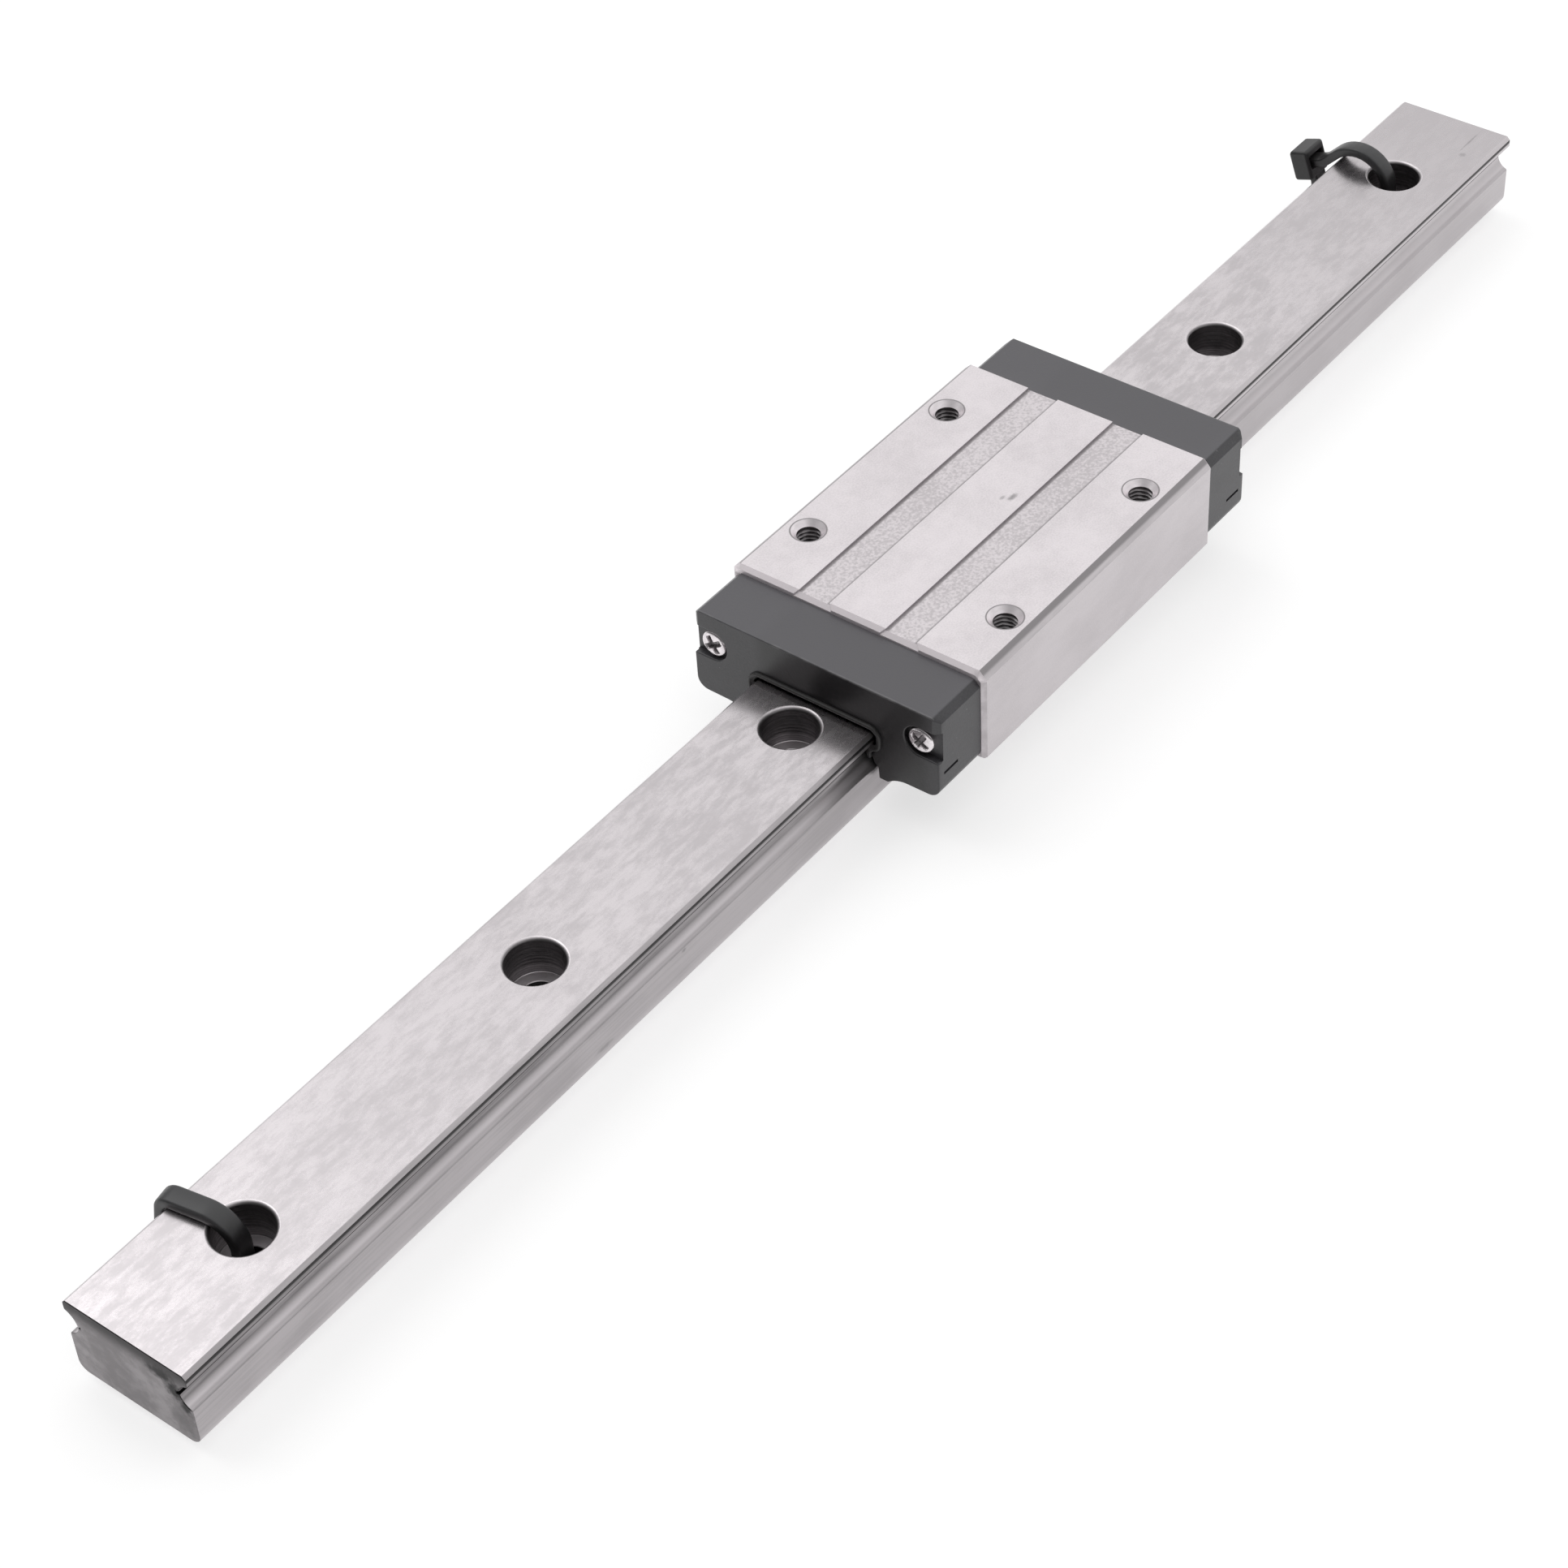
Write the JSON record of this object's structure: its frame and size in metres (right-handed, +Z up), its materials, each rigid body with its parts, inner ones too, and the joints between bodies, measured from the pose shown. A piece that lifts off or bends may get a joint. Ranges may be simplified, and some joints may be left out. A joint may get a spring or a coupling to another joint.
{
  "type": "linear guide rail with block",
  "caption": "Miniature linear guide: a drilled, ground steel rail and a long ball-bearing carriage block with plastic end plates, kept on the rail by cable ties through its end holes.",
  "frame": {"origin": "centre of the rail's base", "axes": "+X along the rail, +Y across it towards the side with the cable ties' heads, +Z up from the base"},
  "size_m": [0.23, 0.032, 0.0172],
  "materials": {
    "rail_steel": "ground, satin",
    "block_steel": "finely ground and blasted",
    "plate_plastic": "moulded, matt",
    "seal_rubber": "matt",
    "screw_steel": "nickel plated",
    "ball_steel": "polished",
    "tie_nylon": "moulded nylon, slight sheen"
  },
  "bodies": {
    "rail": {"rail": "rail_steel", "stop_tie_near": "tie_nylon", "stop_tie_far": "tie_nylon"},
    "carriage": {"carriage_block": "block_steel", "end_plate_front": "plate_plastic", "end_plate_rear": "plate_plastic", "end_seal_front": "seal_rubber", "end_seal_rear": "seal_rubber", "plate_screw_front_left": "screw_steel", "plate_screw_front_right": "screw_steel", "plate_screw_rear_left": "screw_steel", "plate_screw_rear_right": "screw_steel", "ball_row_left": "ball_steel", "ball_row_right": "ball_steel"}
  },
  "joints": [
    {"name": "carriage_slide", "type": "slide", "parent": "rail", "child": "carriage", "axis": [1, 0, 0], "range_m": [-0.082, 0.0565]}
  ]
}
